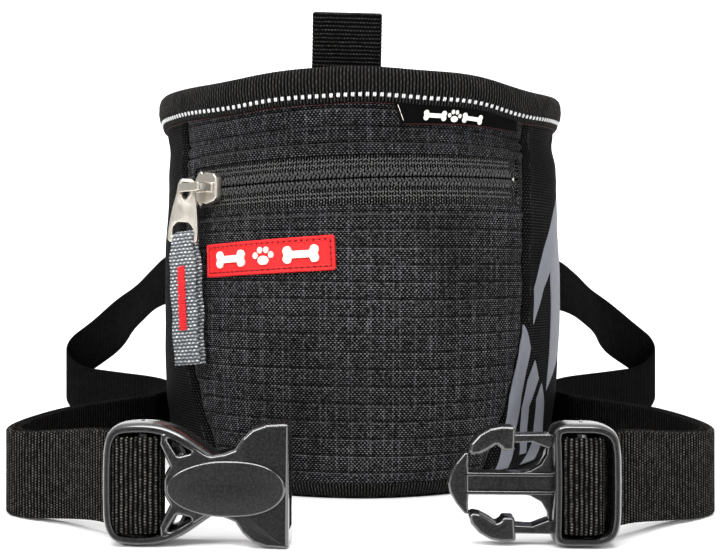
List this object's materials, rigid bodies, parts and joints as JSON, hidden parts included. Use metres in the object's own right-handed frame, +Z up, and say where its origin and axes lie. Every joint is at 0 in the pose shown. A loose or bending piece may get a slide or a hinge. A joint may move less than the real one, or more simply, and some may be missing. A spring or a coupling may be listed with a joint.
{
  "type": "treat pouch",
  "caption": "Open-topped half-round fabric treat pouch with a zipped front pocket, on a webbing waist belt with a side-release buckle lying open in front.",
  "frame": {"origin": "centre of the half-round front wall, on the underside of the base", "axes": "+Z up, -Y out of the front panel, +Y out of the flat back, +X the pouch's right side as seen from the front"},
  "size_m": [0.2983, 0.2462, 0.1534],
  "materials": {
    "ripstop": "charcoal-black ripstop",
    "side_cloth": "plain black pack cloth",
    "lining_cloth": "coated black lining",
    "grosgrain": "ribbed black binding",
    "reflective_thread": "silver-white reflective thread",
    "black_webbing": "ribbed black webbing",
    "grey_webbing": "grey webbing",
    "red_thread": "red thread",
    "satin_label": "black satin tape",
    "patch_rubber": "matt red rubber",
    "emblem_rubber": "matt off-white rubber",
    "print_film": "grey reflective film",
    "zip_tape": "ribbed black zip tape",
    "zip_coil": "black nylon coil",
    "zip_metal": "warm nickel plate",
    "buckle_plastic": "fine-textured black acetal",
    "spring_steel": "blued spring strip"
  },
  "bodies": {
    "pouch": {"front_panel": "ripstop", "front_yoke": "ripstop", "left_side_panel": "side_cloth", "right_side_panel": "side_cloth", "back_panel": "side_cloth", "base_panel": "side_cloth", "base_binding": "grosgrain", "lining": "lining_cloth", "pocket_bag": "lining_cloth", "rim_stiffener": "spring_steel", "rim_binding": "grosgrain", "rim_reflective_thread": "reflective_thread", "front_tab": "black_webbing", "side_label": "satin_label", "patch": "patch_rubber", "patch_emblem": "emblem_rubber", "side_print": "print_film", "zip_lower_tape": "zip_tape", "zip_upper_tape": "zip_tape", "zip_coils": "zip_coil", "zip_left_stop": "zip_metal", "zip_right_stop": "zip_metal", "belt_sleeve": "side_cloth", "belt_centre": "black_webbing", "left_belt": "black_webbing", "right_belt": "black_webbing", "left_belt_tail": "black_webbing", "right_belt_tail": "black_webbing"},
    "slider": {"zip_slider": "zip_metal"},
    "pull": {"zip_pull": "zip_metal"},
    "pull_loop": {"pull_webbing_loop": "grey_webbing", "pull_bartack": "red_thread"},
    "socket_half": {"female_buckle": "buckle_plastic", "left_belt_end_loop": "black_webbing"},
    "plug_half": {"male_buckle": "buckle_plastic", "right_belt_end_loop": "black_webbing"},
    "upper_arm": {"upper_prong": "buckle_plastic"},
    "lower_arm": {"lower_prong": "buckle_plastic"}
  },
  "joints": [
    {"name": "zip_travel", "type": "hinge", "parent": "pouch", "child": "slider", "pos_m": [0, 0, 0.1008], "axis": [-0.0332, 0, 0.9995], "range_deg": [0, 83]},
    {"name": "pull_tilt", "type": "hinge", "parent": "slider", "child": "pull", "pos_m": [-0.05707, -0.05559, 0.09923], "axis": [-0.9397, 0.3419, 0], "range_deg": [0, 35]},
    {"name": "loop_swing", "type": "hinge", "parent": "pull", "child": "pull_loop", "pos_m": [-0.05957, -0.05468, 0.08244], "axis": [-0.9281, 0.338, 0.156], "range_deg": [0, 80]},
    {"name": "socket_swivel", "type": "hinge", "parent": "pouch", "child": "socket_half", "pos_m": [-0.053, -0.119, 0.0166], "axis": [0, 0, 1], "range_deg": [-30, 30]},
    {"name": "plug_swivel", "type": "hinge", "parent": "pouch", "child": "plug_half", "pos_m": [0.062, -0.1165, 0.0166], "axis": [0, 0, 1], "range_deg": [-30, 30]},
    {"name": "upper_arm_flex", "type": "hinge", "parent": "plug_half", "child": "upper_arm", "pos_m": [0.0518, -0.1165, 0.0284], "axis": [0, -1, 0], "range_deg": [0, 8], "stiffness_Nm_per_rad": 0.3},
    {"name": "lower_arm_flex", "type": "hinge", "parent": "plug_half", "child": "lower_arm", "pos_m": [0.0518, -0.1165, 0.0048], "axis": [0, -1, 0], "range_deg": [-8, 0], "stiffness_Nm_per_rad": 0.3}
  ],
  "couplings": [
    {"joint": "lower_arm_flex", "follows": "upper_arm_flex", "ratio": -1}
  ]
}
